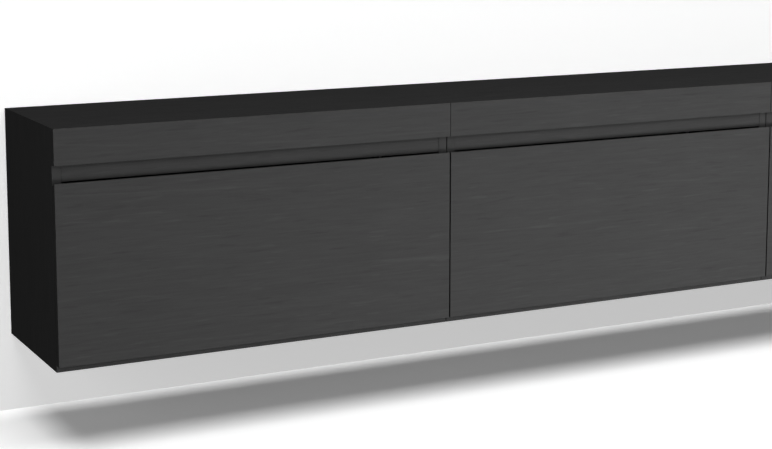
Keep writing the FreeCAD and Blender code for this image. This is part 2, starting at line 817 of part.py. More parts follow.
def build_dresser():
    top_panel()
    for bay in range(BAYS):
        side_panel(bay, -1)
        side_panel(bay, 1)
        floor_board(bay)
        back_panel(bay)
        grip_rail(bay)
        apron(bay)
        wall_rail(bay)
        drawer_front(bay)
        box_side(bay, -1)
        box_side(bay, 1)
        box_cross_wall(bay, rear=False)
        box_cross_wall(bay, rear=True)
        box_floor(bay)
        runners(bay)
    group("cabinet_hangers", [hanger(bay, side) for bay in range(BAYS) for side in (-1, 1)])

    short_screw = screw_master("short_screw", "short_screw_length", "short_screw_head")
    front_length = "box_wall + screw_bite"
    front_screw = screw_master("front_screw", front_length, "long_screw_head")
    apron_length = "panel + grip_setback + screw_bite"
    apron_screw = screw_master("apron_screw_master", apron_length, "long_screw_head")
    carcass_dowels()
    connecting_bolts()
    side_screws("runner_screws", short_screw, runner_spots(), "runner_metal")
    side_screws("hanger_screws", short_screw, hanger_spots(), "rail_metal")
    apron_screws(apron_screw)
    for bay in range(BAYS):
        drawer_screws(bay, short_screw, front_screw)
    bumpers()


def check_model():
    faults = []
    for thing in doc.Objects:
        if "Invalid" in thing.State or "Error" in thing.State:
            faults.append(f"{thing.Label} could not be computed")
        if thing.TypeId == "PartDesign::Pocket":
            before = thing.BaseFeature.Shape.Volume
            if before - thing.Shape.Volume < 1:
                faults.append(f"{thing.Label} cuts nothing")
    for node in nodes:
        if node.Shape.isNull() or not node.Shape.isValid() or not node.Shape.Solids:
            faults.append(f"{node.Label} is not a valid solid")
    if faults:
        raise RuntimeError("; ".join(faults))


def export_nodes():
    os.makedirs("parts", exist_ok=True)
    for node in nodes:
        node.Shape.exportStep(f"parts/{node.Label}.step")
    print(f"{len(nodes)} sub-parts written")


build_dresser()
doc.recompute()
check_model()
export_nodes()
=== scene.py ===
import bpy
import bmesh
import json
import math
from mathutils import Vector, Matrix

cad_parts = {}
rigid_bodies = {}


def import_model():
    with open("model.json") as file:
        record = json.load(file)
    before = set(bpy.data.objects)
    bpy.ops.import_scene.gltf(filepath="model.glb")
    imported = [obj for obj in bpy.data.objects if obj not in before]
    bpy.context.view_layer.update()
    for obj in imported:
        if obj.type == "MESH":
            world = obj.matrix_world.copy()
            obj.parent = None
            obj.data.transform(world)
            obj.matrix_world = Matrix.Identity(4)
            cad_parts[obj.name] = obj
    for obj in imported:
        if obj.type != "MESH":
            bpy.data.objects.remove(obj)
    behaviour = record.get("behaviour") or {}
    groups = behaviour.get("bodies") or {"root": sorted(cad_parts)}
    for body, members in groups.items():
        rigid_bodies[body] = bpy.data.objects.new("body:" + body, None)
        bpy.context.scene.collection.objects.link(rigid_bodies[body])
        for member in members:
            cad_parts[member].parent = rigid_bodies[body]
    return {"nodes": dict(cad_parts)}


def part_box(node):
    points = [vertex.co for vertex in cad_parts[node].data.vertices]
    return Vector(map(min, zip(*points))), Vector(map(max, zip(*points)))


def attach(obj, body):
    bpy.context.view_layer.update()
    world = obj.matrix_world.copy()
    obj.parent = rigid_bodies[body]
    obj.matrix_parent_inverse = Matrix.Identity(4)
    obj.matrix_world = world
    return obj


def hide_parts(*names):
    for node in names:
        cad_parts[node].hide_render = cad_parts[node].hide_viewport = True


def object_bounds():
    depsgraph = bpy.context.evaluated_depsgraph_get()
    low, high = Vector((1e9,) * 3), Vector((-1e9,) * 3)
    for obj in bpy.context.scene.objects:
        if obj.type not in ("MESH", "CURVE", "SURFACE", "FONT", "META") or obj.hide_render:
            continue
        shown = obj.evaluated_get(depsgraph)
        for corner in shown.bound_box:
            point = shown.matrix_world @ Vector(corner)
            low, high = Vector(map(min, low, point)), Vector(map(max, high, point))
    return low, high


# Wall-hung dresser: black-stained boards, deep drawers on telescopic runners.
# Metres, X along the wall, Z up, the wall is the plane Y = 0 and the fronts face -Y.

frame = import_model()
cadLow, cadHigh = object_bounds()
nodes = frame["nodes"]
bays = (1, 2, 3)
print("frame loaded,", len(nodes), "nodes")

meshWork = {
    "mergeDistance": 1e-6,              # points closer than this are one
    "levelAngle": math.radians(1),      # faces this close in direction become one
    "easedAngle": math.radians(30),     # edges sharper than this are eased
    "curveAngle": math.radians(20),     # flatter edges than this are shaded away
}


def clearSelection():
    for thing in bpy.context.view_layer.objects:
        thing.select_set(False)


def chooseAll(objects):
    clearSelection()
    for obj in objects:
        obj.select_set(True)
    bpy.context.view_layer.objects.active = objects[0]


def applyPlace(*objects):
    chooseAll(objects)
    bpy.ops.object.transform_apply(location=True, rotation=True, scale=True)


def nameIt(obj, name):
    obj.name = name
    obj.data.name = name
    return obj


def addBlock(name, low, high):
    clearSelection()
    low, high = Vector(low), Vector(high)
    bpy.ops.mesh.primitive_cube_add(size=1, location=(low + high) / 2)
    obj = nameIt(bpy.context.object, name)
    obj.scale = high - low
    applyPlace(obj)
    return obj


def addRod(name, centre, radius, depth, axis="z", sides=24):
    clearSelection()
    turns = {"x": (0, math.pi / 2, 0), "y": (math.pi / 2, 0, 0), "z": (0, 0, 0)}
    bpy.ops.mesh.primitive_cylinder_add(vertices=sides, radius=radius, depth=depth,
                                        location=centre, rotation=turns[axis])
    obj = nameIt(bpy.context.object, name)
    applyPlace(obj)
    return obj


def joined(name, parts):
    chooseAll(parts)
    bpy.ops.object.join()
    return nameIt(bpy.context.object, name)


def applyModifier(obj, kind, **settings):
    chooseAll([obj])
    modifier = obj.modifiers.new(kind.lower(), kind)
    for key, value in settings.items():
        setattr(modifier, key, value)
    bpy.ops.object.modifier_apply(modifier=modifier.name)


def editAll(obj):
    # Goes into edit mode with everything selected.
    chooseAll([obj])
    bpy.ops.object.mode_set(mode="EDIT")
    bpy.ops.mesh.select_all(action="SELECT")


def editNothing(obj, kind):
    # Clears the selection inside a mesh, ready for faces or points to be picked.
    chooseAll([obj])
    bpy.ops.object.mode_set(mode="EDIT")
    bpy.ops.mesh.select_mode(type=kind)
    bpy.ops.mesh.select_all(action="DESELECT")
    bpy.ops.object.mode_set(mode="OBJECT")


def leaveEdit():
    bpy.ops.object.mode_set(mode="OBJECT")


def sliceOff(obj, point, normal):
    # Cuts away what lies on the normal's side of a plane and closes the cut.
    editAll(obj)
    bpy.ops.mesh.bisect(plane_co=point, plane_no=normal, use_fill=True, clear_outer=True)
    leaveEdit()


def cutWith(obj, cutters):
    # Takes the shapes of the cutters out of a piece, all in one go.
    if cutters:
        cutter = joined("cutter", cutters)
        applyModifier(obj, "BOOLEAN", object=cutter, operation="DIFFERENCE", solver="EXACT")
        bpy.data.objects.remove(cutter)


def pickEnd(obj, way):
    # Selects the flat end of an upright piece: the top for 1, the bottom for -1.
    editNothing(obj, "FACE")
    end = max(face.center.z * way for face in obj.data.polygons)
    for face in obj.data.polygons:
        face.select = face.center.z * way > end - meshWork["mergeDistance"]
    bpy.ops.object.mode_set(mode="EDIT")


def pushOut(rise, spread):
    # Extrudes the selected end face along Z and widens or narrows it.
    bpy.ops.mesh.extrude_region_move(TRANSFORM_OT_translate={"value": (0, 0, rise)})
    bpy.ops.transform.resize(value=(spread, spread, 1))


def smoothCurves(obj, angle=meshWork["curveAngle"]):
    # Rounds the shading of curved faces only, so flat boards stay flat.
    chooseAll([obj])
    bpy.ops.object.shade_smooth_by_angle(angle=angle)


def ease(obj, width, segments=2):
    # Rounds every sharp edge by a hair, as sandpaper or an edge band does.
    applyModifier(obj, "BEVEL", width=width, segments=segments, limit_method="ANGLE",
                  angle_limit=meshWork["easedAngle"], harden_normals=False)
    smoothCurves(obj)


def softened(name, node, width):
    # A copy of a CAD node with its sharp edges eased.
    obj = nodes[node].copy()
    obj.data = nodes[node].data.copy()
    nameIt(obj, name)
    for key in list(obj.keys()):
        del obj[key]
    obj.parent = None
    obj.matrix_world = Matrix.Identity(4)
    bpy.context.scene.collection.objects.link(obj)
    editAll(obj)
    bpy.ops.mesh.remove_doubles(threshold=meshWork["mergeDistance"])
    bpy.ops.mesh.dissolve_limited(angle_limit=meshWork["levelAngle"])
    leaveEdit()
    ease(obj, width, 1)
    return obj


def boxAround(points):
    low = Vector([min(point[i] for point in points) for i in range(3)])
    high = Vector([max(point[i] for point in points) for i in range(3)])
    return low, high


def boxesMeet(lowA, highA, lowB, highB):
    return all(lowA[i] < highB[i] and highA[i] > lowB[i] for i in range(3))


def looseSolids(node):
    # The points of each separate solid in a CAD node.
    mesh = bmesh.new()
    mesh.from_mesh(nodes[node].data)
    bmesh.ops.remove_doubles(mesh, verts=mesh.verts, dist=meshWork["mergeDistance"])
    unseen = set(mesh.verts)
    solids = []
    while unseen:
        stack = [unseen.pop()]
        points = []
        while stack:
            vert = stack.pop()
            points.append(vert.co.copy())
            for edge in vert.link_edges:
                other = edge.other_vert(vert)
                if other in unseen:
                    unseen.remove(other)
                    stack.append(other)
        solids.append(points)
    mesh.free()
    return solids


class Seat:
    # Where one solid of a CAD node lies: its box, the way it points and its top.
    def __init__(self, points, isFlat=False):
        self.low, self.high = boxAround(points)
        self.middle = (self.low + self.high) / 2
        size = self.high - self.low
        choice = min if isFlat else max
        self.axis = choice(range(3), key=lambda i: size[i])
        self.length = size[self.axis]
        widest = max(points, key=self.reach)
        self.way = Vector((0, 0, 0))
        self.way[self.axis] = -1 if widest[self.axis] > self.middle[self.axis] else 1
        self.top = self.middle - self.way * self.length / 2

    def reach(self, point):
        away = point - self.middle
        away[self.axis] = 0
        return away.length


def seatsOf(*names, isFlat=False):
    return [Seat(points, isFlat) for name in names for points in looseSolids(name)]


def copiesAt(name, master, seats):
    # One copy of the master for each seat, top at the seat's top, joined into one piece.
    parts = []
    for seat in seats:
        part = master.copy()
        part.data = master.data.copy()
        bpy.context.scene.collection.objects.link(part)
        turn = seat.way.to_track_quat("-Z", "Y").to_matrix().to_4x4()
        part.matrix_world = Matrix.Translation(seat.top) @ turn
        parts.append(part)
    applyPlace(*parts)
    bpy.data.objects.remove(master)
    return joined(name, parts)


def finishPiece(obj, material, body, slot, *stoodFor):
    obj.data.materials.clear()
    obj.data.materials.append(material)
    for face in obj.data.polygons:
        face.material_index = 0
    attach(obj, body)
    if stoodFor:
        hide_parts(*stoodFor)


class Wire:
    # A socket that does arithmetic by adding Math nodes.
    def __init__(self, sheet, socket):
        self.sheet = sheet
        self.socket = socket

    def maths(self, operation, *others):
        return self.sheet.maths(operation, self, *others)

    def __add__(self, other):
        return self.maths("ADD", other)

    def __radd__(self, other):
        return self.sheet.maths("ADD", other, self)

    def __sub__(self, other):
        return self.maths("SUBTRACT", other)

    def __rsub__(self, other):
        return self.sheet.maths("SUBTRACT", other, self)

    def __mul__(self, other):
        return self.maths("MULTIPLY", other)

    def __rmul__(self, other):
        return self.sheet.maths("MULTIPLY", other, self)

    def __truediv__(self, other):
        return self.maths("DIVIDE", other)

    def __rtruediv__(self, other):
        return self.sheet.maths("DIVIDE", other, self)

    def floor(self):
        return self.maths("FLOOR")

    def distance(self):
        return self.maths("ABSOLUTE")


class Sheet:
    # The node tree of a material or the world, and the nodes added to it.
    def __init__(self, owner):
        owner.use_nodes = True
        self.owner = owner
        self.tree = owner.node_tree

    def add(self, kind, settings=None, inputs=(), output=0):
        node = self.tree.nodes.new(kind)
        for key, value in (settings or {}).items():
            if key == "stops":
                self.setStops(node, value)
            else:
                setattr(node, key, value)
        pairs = inputs.items() if isinstance(inputs, dict) else enumerate(inputs)
        for key, value in pairs:
            self.feed(node.inputs[key], value)
        return Wire(self, node.outputs[output])

    def setStops(self, node, stops):
        ramp = node.color_ramp
        while len(ramp.elements) > len(stops):
            ramp.elements.remove(ramp.elements[-1])
        while len(ramp.elements) < len(stops):
            ramp.elements.new(1.0)
        for element, (place, tone) in zip(ramp.elements, stops):
            element.position = place
            element.color = (tone, tone, tone, 1)

    def feed(self, socket, value):
        if isinstance(value, Wire):
            self.tree.links.new(value.socket, socket)
        else:
            socket.default_value = value

    def maths(self, operation, *values):
        return self.add("ShaderNodeMath", {"operation": operation}, values)

    def place(self):
        return self.add("ShaderNodeTexCoord", output="Object")

    def parts(self, vector):
        first = self.add("ShaderNodeSeparateXYZ", {}, (vector,))
        return [Wire(self, socket) for socket in first.socket.node.outputs]

    def join(self, x, y, z):
        return self.add("ShaderNodeCombineXYZ", {}, (x, y, z))

    def noise(self, vector, scale, detail=3.0, roughness=0.5):
        inputs = {"Vector": vector, "Scale": scale, "Detail": detail, "Roughness": roughness}
        return self.add("ShaderNodeTexNoise", {}, inputs)

    def ramp(self, value, *stops):
        return self.add("ShaderNodeValToRGB", {"stops": stops}, (value,))

    def tint(self, amount, low, high):
        # Inputs 6 and 7 and output 2 of a Mix node are its colours.
        ends = [end if isinstance(end, Wire) else (*end, 1) for end in (low, high)]
        inputs = {0: amount, 6: ends[0], 7: ends[1]}
        return self.add("ShaderNodeMix", {"data_type": "RGBA"}, inputs, 2)

    def occlusionShade(self, distance):
        # Painted shade from ambient occlusion: 1 on an open face, towards 0 inside a gap narrower
        # than the distance.
        settings = {"samples": 4, "only_local": False}
        return self.add("ShaderNodeAmbientOcclusion", settings, {"Distance": distance}, "AO")

    def bump(self, height, strength, distance):
        inputs = {"Strength": strength, "Distance": distance, "Height": height}
        return self.add("ShaderNodeBump", {}, inputs)

    def surface(self, **values):
        shader = self.tree.nodes["Principled BSDF"]
        for key, value in values.items():
            self.feed(shader.inputs[key.replace("_", " ")], value)
        return self.owner

    def finishWith(self, closure):
        # Puts another shader in place of the usual one.
        self.tree.nodes.remove(self.tree.nodes["Principled BSDF"])
        self.feed(self.tree.nodes["Material Output"].inputs["Surface"], closure)
        return self.owner


def newFinish(name):
    return Sheet(bpy.data.materials.new(name))


stain = {
    "dark": 0.036,          # grey of the darkest grain
    "light": 0.064,         # grey of the lightest grain
    "roughness": 0.58,
    "poreRoughness": 0.12,  # pores are this much rougher
    "streakGloss": 0.06,    # and light streaks this much smoother
    "specular": 0.12,
    "relief": 0.35,         # strength and depth of the open grain
    "reliefDepth": 0.00025,
    "bayLength": 0.9,       # the pattern starts afresh on each bay's boards
    "bayShift": 3.7,
    # Painted shade: ambient occlusion darkens narrow joints and gaps, standing in for the shade that
    # falls there.
    "shadeGapWidth": 0.010,      # joints narrower than this get painted shade
    "shadeGapTone": 0.1,         # and this much of the stain's tone is left in that painted shade
    "shadeGapSteps": ((0.15, 0.0), (0.88, 1.0)),
}

# Each field of the grain: its length and width in metres, its detail and where it starts.
grainFields = {
    "broad": (0.50, 0.045, 3.0, 0.0),
    "streak": (0.110, 0.0060, 3.0, 0.0),
    "fibre": (0.045, 0.0013, 3.0, 0.0),
    "pore": (0.018, 0.0006, 2.0, 0.0),
    "dash": (0.085, 0.0075, 1.0, 5.0),
    "ridge": (2.4, 0.12, 0.0, 2.0),
    "lineBreak": (0.30, 0.09, 1.0, 8.0),
}

# How much each of them lightens or darkens the board, and what is added to all.
grainTone = {
    "broad": 0.25,
    "streak": 0.65,
    "fibre": 0.35,
    "lightDash": 0.22,
    "line": 0.28,
    "darkDash": -0.20,
    "pore": -0.20,
}
grainBase = -0.12

grainSteps = {
    "pore": ((0.60, 0.0), (0.72, 1.0)),
    "lightDash": ((0.66, 0.0), (0.72, 1.0)),
    "darkDash": ((0.28, 1.0), (0.34, 0.0)),
    "line": ((0.0, 1.0), (0.016, 0.0)),
    "lineBreak": ((0.48, 0.0), (0.56, 1.0)),
}

grainShape = {
    "roughness": 0.6,
    "depthScale": 20.0,     # how fast the pattern changes from board face to board face
    "lean": 0.31,           # lanes move sideways with depth, so narrow edges vary too
    "waveAlong": 0.9,
    "waveAcross": 3.0,
    "waveHeight": 0.02,     # how far a lane wanders
    "streakRelief": 0.4,
    "fibreRelief": 0.3,
}


def stainedVeneer(name, axis, darker=1.0, perBay=True):
    # Black-stained oak veneer. axis is the way its grain runs.
    finish = newFinish(name)
    x, y, z = finish.parts(finish.place())
    along, across, depth = {"x": (x, z, y), "y": (y, x, z), "z": (z, y, x)}[axis]
    shift = 0.0
    if perBay:
        shift = ((x / stain["bayLength"]) + 0.5).floor() * stain["bayShift"]
    wavePlace = finish.join(along * grainShape["waveAlong"],
                            across * grainShape["waveAcross"] + shift, depth)
    wander = finish.noise(wavePlace, 1.0, 2.0) - 0.5
    lane = across + depth * grainShape["lean"] + wander * grainShape["waveHeight"]

    def field(key):
        # Noise drawn out along the grain.
        length, width, detail, start = grainFields[key]
        place = finish.join(along / length + start, lane / width + shift,
                            depth * grainShape["depthScale"])
        return finish.noise(place, 1.0, detail, grainShape["roughness"])

    def stepped(key, value):
        return finish.ramp(value, *grainSteps[key])

    dash = field("dash")
    # Long thin lines lie where a slow field crosses its middle value.
    ridge = (field("ridge") - 0.5).distance()
    marks = {
        "broad": field("broad"),
        "streak": field("streak"),
        "fibre": field("fibre"),
        "pore": stepped("pore", field("pore")),
        "lightDash": stepped("lightDash", dash),
        "darkDash": stepped("darkDash", dash),
        "line": stepped("line", ridge) * stepped("lineBreak", field("lineBreak")),
    }
    amount = grainBase
    for key, weight in grainTone.items():
        amount = marks[key] * weight + amount
    shade = finish.ramp(amount, (0.0, 0.0), (1.0, 1.0))
    low = [stain["dark"] * darker] * 3
    high = [stain["light"] * darker] * 3
    # Painted shade: narrow gaps and joints are darkened towards near-black by ambient occlusion, as
    # shade falls there.
    gapShadeColour = [stain["dark"] * stain["shadeGapTone"]] * 3
    unshadedShare = finish.ramp(finish.occlusionShade(stain["shadeGapWidth"]), *stain["shadeGapSteps"])
    raised = marks["streak"] * grainShape["streakRelief"] + marks["fibre"] * grainShape["fibreRelief"]
    rough = marks["pore"] * stain["poreRoughness"] - marks["streak"] * stain["streakGloss"]
    return finish.surface(
        Base_Color=finish.tint(unshadedShare, gapShadeColour, finish.tint(shade, low, high)),
        Roughness=stain["roughness"] + rough,
        Specular_IOR_Level=stain["specular"],
        Normal=finish.bump(raised - marks["pore"], stain["relief"], stain["reliefDepth"]),
    )


brushed = {
    "across": 900.0,        # scale of the brush marks over and along their run
    "along": 4.0,
    "cloud": 35.0,          # scale of the plating's clouds
    "cloudShare": 0.6,
    "darkest": 0.82,
    "brushRoughness": 0.14,
    "cloudRoughness": 0.08,
    "relief": 0.15,
    "reliefDepth": 0.0001,
}


def metalFinish(name, colour, roughness, brushAxis="y"):
    finish = newFinish(name)
    scales = [brushed["along"] if axis == brushAxis else brushed["across"] for axis in "xyz"]
    stretched = [part * scale for part, scale in zip(finish.parts(finish.place()), scales)]
    brush = finish.noise(finish.join(*stretched), 1.0)
    cloud = finish.noise(finish.place(), brushed["cloud"])
    low = [c * brushed["darkest"] for c in colour]
    share = brushed["cloudShare"]
    return finish.surface(
        Base_Color=finish.tint(cloud * share + brush * (1 - share), low, colour),
        Metallic=1.0,
        Roughness=roughness + brush * brushed["brushRoughness"] + cloud * brushed["cloudRoughness"],
        Normal=finish.bump(brush, brushed["relief"], brushed["reliefDepth"]),
    )


speckled = {
    "darkest": 0.8,
    "roughness": 0.1,
    "specular": 0.3,
    "relief": 0.2,
    "reliefDepth": 0.0002,
}


def plainFinish(name, colour, roughness, grainScale):
    finish = newFinish(name)
    speckle = finish.noise(finish.place(), grainScale, 4.0, 0.6)
    low = [c * speckled["darkest"] for c in colour]
    return finish.surface(
        Base_Color=finish.tint(speckle, low, colour),
        Roughness=roughness + speckle * speckled["roughness"],
        Specular_IOR_Level=speckled["specular"],
        Normal=finish.bump(speckle, speckled["relief"], speckled["reliefDepth"]),
    )


veneerLong = stainedVeneer("stained_veneer_long", "x")
veneerTop = stainedVeneer("stained_veneer_top", "x", perBay=False)
veneerUpright = stainedVeneer("stained_veneer_upright", "z", perBay=False)
veneerDeep = stainedVeneer("stained_veneer_deep", "y", darker=1.15)
zincSteel = metalFinish("zinc_plated_steel", (0.62, 0.63, 0.64), 0.28)
bracketSteel = metalFinish("galvanised_steel", (0.56, 0.57, 0.58), 0.38, "x")
screwSteel = metalFinish("dark_zinc_screws", (0.32, 0.32, 0.33), 0.32)
beech = plainFinish("bare_beech", (0.60, 0.44, 0.28), 0.6, 220.0)
softRubber = plainFinish("bumper_rubber", (0.05, 0.05, 0.052), 0.7, 600.0)
print("finishes made")


joinery = {
    "holePlay": 0.00005,     # radius of a hole over what fills it
    "dowelRadius": 0.004,
    "boltRadius": 0.004,
    "screwRadius": 0.002,
    "endRoom": 0.001,        # hole past the fastener's end
    "grooveSide": 0.0001,    # groove over the back panel, each side
    "grooveEnd": 0.0005,     # and past its edge
}
dowelSeats = seatsOf("carcass_dowels")
boltSeats = seatsOf("connecting_bolts")
carcassScrewSeats = seatsOf("runner_screws", "hanger_screws", "apron_screws")
drawerScrewSeats = {bay: seatsOf(f"drawer_{bay}_screws") for bay in bays}


def holeCutters(obj, seats, radius):
    # A rod for each fastener that enters the piece.
    low, high = boxAround(obj.bound_box)
    wide = radius + joinery["holePlay"]
    rods = []
    for seat in seats:
        if boxesMeet(seat.low, seat.high, low, high):
            depth = seat.length + 2 * joinery["endRoom"]
            rods.append(addRod("hole", seat.middle, wide, depth, "xyz"[seat.axis]))
    return rods


def grooveCutters(obj):
    # The slots that hold the back panels.
    room = Vector((joinery["grooveEnd"], joinery["grooveSide"], joinery["grooveEnd"]))
    slots = []
    for bay in bays:
        low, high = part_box(f"bay_{bay}_back")
        low, high = low - room, high + room
        if boxesMeet(low, high, *boxAround(obj.bound_box)):
            slots.append(addBlock("slot", low, high))
    return slots


def cutJoinery(obj):
    # Drills and grooves a carcass board for all that goes into it.
    cutters = holeCutters(obj, dowelSeats, joinery["dowelRadius"])
    cutters += holeCutters(obj, boltSeats, joinery["boltRadius"])
    cutters += holeCutters(obj, carcassScrewSeats, joinery["screwRadius"])
    cutWith(obj, cutters + grooveCutters(obj))
    smoothCurves(obj)


topBoard = {"ease": 0.0003}


def makeTopBoard():
    # Its ends are mitred from the outer top edge down and inwards.
    low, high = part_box("top_panel")
    obj = addBlock("top_board", low, high)
    sliceOff(obj, (low.x, low.y, high.z), (-1, 0, -1))
    sliceOff(obj, (high.x, low.y, high.z), (1, 0, -1))
    ease(obj, topBoard["ease"])
    cutJoinery(obj)
    finishPiece(obj, veneerTop, "carcass", "carcass_veneer", "top_panel")


sideBoard = {"ease": 0.0003}


def makeSideBoards():
    # The two outermost ones meet the top board in a mitre.
    for bay in bays:
        for side in "left", "right":
            node = f"bay_{bay}_{side}_side"
            low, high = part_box(node)
            obj = addBlock(f"{node}_board", low, high)
            if bay == bays[0] and side == "left":
                sliceOff(obj, (low.x, low.y, high.z), (1, 0, 1))
            if bay == bays[-1] and side == "right":
                sliceOff(obj, (high.x, low.y, high.z), (-1, 0, 1))
            ease(obj, sideBoard["ease"])
            cutJoinery(obj)
            finishPiece(obj, veneerUpright, "carcass", "carcass_veneer", node)


# Each kind of long carcass board: how far its edges are eased, and its slot.
longBoard = {
    "bottom": (0.0004, "carcass_veneer"),
    "grip_rail": (0.0007, "carcass_veneer"),
    "apron": (0.0004, "front_veneer"),
}


def makeLongBoards():
    for bay in bays:
        for kind, (width, slot) in longBoard.items():
            node = f"bay_{bay}_{kind}"
            obj = addBlock(f"{node}_board", *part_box(node))
            ease(obj, width)
            cutJoinery(obj)
            finishPiece(obj, veneerLong, "carcass", slot, node)


drawerFront = {"ease": 0.0004, "fingerBevel": 0.011}


def makeDrawerFronts():
    # A bevel behind the top edge makes room for the fingers.
    for bay in bays:
        node = f"drawer_{bay}_front"
        low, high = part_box(node)
        obj = addBlock(f"{node}_board", low, high)
        sliceOff(obj, (low.x, high.y - drawerFront["fingerBevel"], high.z), (0, 1, 1))
        ease(obj, drawerFront["ease"])
        cutWith(obj, holeCutters(obj, drawerScrewSeats[bay], joinery["screwRadius"]))
        smoothCurves(obj)
        finishPiece(obj, veneerLong, f"drawer_{bay}", "front_veneer", node)


innerBoard = {"backEase": 0.0004, "boxEase": 0.0005}
boxBoards = {
    "left_wall": veneerDeep,
    "right_wall": veneerDeep,
    "inner_front": veneerLong,
    "rear_wall": veneerLong,
    "bottom": veneerLong,
}


def makeInnerBoards():
    for bay in bays:
        node = f"bay_{bay}_back"
        obj = softened(f"{node}_board", node, innerBoard["backEase"])
        finishPiece(obj, veneerUpright, "carcass", "interior_board", node)
        for kind, material in boxBoards.items():
            node = f"drawer_{bay}_{kind}"
            obj = softened(f"{node}_board", node, innerBoard["boxEase"])
            finishPiece(obj, material, f"drawer_{bay}", "drawer_board", node)


makeTopBoard()
makeSideBoards()
makeLongBoards()
makeDrawerFronts()
makeInnerBoards()
print("boards made")


sheetMetal = {"runnerEase": 0.0002, "railEase": 0.0005, "hangerEase": 0.0004}


def makeSheetMetal():
    for bay in bays:
        runnerBodies = {
            f"bay_{bay}_cabinet_runners": "carcass",
            f"drawer_{bay}_middle_runners": f"runner_slide_{bay}",
            f"drawer_{bay}_drawer_runners": f"drawer_{bay}",
        }
        for node, body in runnerBodies.items():
            obj = softened(f"{node}_steel", node, sheetMetal["runnerEase"])
            finishPiece(obj, zincSteel, body, "runner_steel", node)
        node = f"bay_{bay}_wall_rail"
        obj = softened(f"{node}_steel", node, sheetMetal["railEase"])
        finishPiece(obj, bracketSteel, "carcass", "bracket_steel", node)
    obj = softened("cabinet_hangers_steel", "cabinet_hangers", sheetMetal["hangerEase"])
    finishPiece(obj, bracketSteel, "carcass", "bracket_steel", "cabinet_hangers")


ballStrip = {
    "ballRadius": 0.00098,
    "ballStep": 0.012,
    "length": 0.130,
    "width": 0.0034,
    "thick": 0.0004,
    "ballSides": 10,
    "ballRings": 6,
    "runnerMetal": 0.0012,   # sheet of the runner members
}


def addBall(centre):
    clearSelection()
    bpy.ops.mesh.primitive_uv_sphere_add(segments=ballStrip["ballSides"],
                                         ring_count=ballStrip["ballRings"],
                                         radius=ballStrip["ballRadius"], location=centre)
    ball = bpy.context.object
    bpy.ops.object.shade_smooth()
    applyPlace(ball)
    return ball


def addBallStrip(centre):
    # A thin cage with a row of balls.
    half = Vector((ballStrip["width"], ballStrip["length"], ballStrip["thick"])) / 2
    cage = addBlock("cage", centre - half, centre + half)
    ease(cage, ballStrip["thick"] / 4, 1)
    parts = [cage]
    for i in range(int(ballStrip["length"] / ballStrip["ballStep"])):
        along = centre.y - half.y + (i + 0.5) * ballStrip["ballStep"]
        parts.append(addBall((centre.x, along, centre.z)))
    return parts


def stripPlaces(wide, narrow, isBack):
    # Above and below the narrower member, in the half that stays inside the wider one.
    across = (max(wide.low.x, narrow.low.x) + min(wide.high.x, narrow.high.x)) / 2
    quarter = (narrow.high.y - narrow.low.y) / 4
    along = narrow.middle.y + (quarter if isBack else -quarter)
    metal = ballStrip["runnerMetal"]
    above = (wide.high.z - metal + narrow.high.z) / 2
    below = (wide.low.z + metal + narrow.low.z) / 2
    return Vector((across, along, above)), Vector((across, along, below))


def makeBallStrips():
    def leftFirst(node):
        return sorted(seatsOf(node), key=lambda seat: seat.low.x)

    for bay in bays:
        outer = leftFirst(f"bay_{bay}_cabinet_runners")
        middle = leftFirst(f"drawer_{bay}_middle_runners")
        inner = leftFirst(f"drawer_{bay}_drawer_runners")
        parts = []
        for wideOnes, narrowOnes, isBack in (outer, middle, True), (middle, inner, False):
            for wide, narrow in zip(wideOnes, narrowOnes):
                for centre in stripPlaces(wide, narrow, isBack):
                    parts += addBallStrip(centre)
        strips = joined(f"drawer_{bay}_ball_strips", parts)
        finishPiece(strips, zincSteel, f"runner_slide_{bay}", "runner_steel")


screw = {
    "core": 0.0014,
    "headRadius": 0.0035,
    "crownRadius": 0.0024,
    "pitch": 0.0018,
    "tip": 0.0025,
    "tipSpread": 0.15,
    "sides": 12,
    "recessWidth": 0.0007,
    "recessLength": 0.0034,
    "recessDepth": 0.0008,
    "shortHead": 0.0013,
    "longHead": 0.0022,
    "longFrom": 0.02,        # screws over this length have the thicker head
}


def screwMaster(length):
    # A cross-headed wood screw, its crown at the origin and its point downwards.
    head = screw["longHead"] if length > screw["longFrom"] else screw["shortHead"]
    obj = addRod("screw", (0, 0, -head * 0.75), screw["headRadius"], head / 2,
                 sides=screw["sides"])
    pickEnd(obj, 1)
    pushOut(head / 2, screw["crownRadius"] / screw["headRadius"])
    leaveEdit()
    pickEnd(obj, -1)
    pushOut(0, screw["core"] / screw["headRadius"])
    threaded = length - head - screw["tip"]
    turns = round(threaded / screw["pitch"])
    halfStep = threaded / turns / 2
    rise = joinery["screwRadius"] / screw["core"]
    for turn in range(turns):
        pushOut(-halfStep, rise)
        pushOut(-halfStep, 1 / rise)
    pushOut(-screw["tip"], screw["tipSpread"])
    leaveEdit()
    wide, thin, deep = screw["recessLength"] / 2, screw["recessWidth"] / 2, screw["recessDepth"]
    for x, y in (wide, thin), (thin, wide):
        cutWith(obj, [addBlock("blade", (-x, -y, -deep), (x, y, deep))])
    smoothCurves(obj)
    return obj


dowel = {"flute": 0.92, "chamfer": 0.001, "chamferSpread": 0.8, "sides": 24}


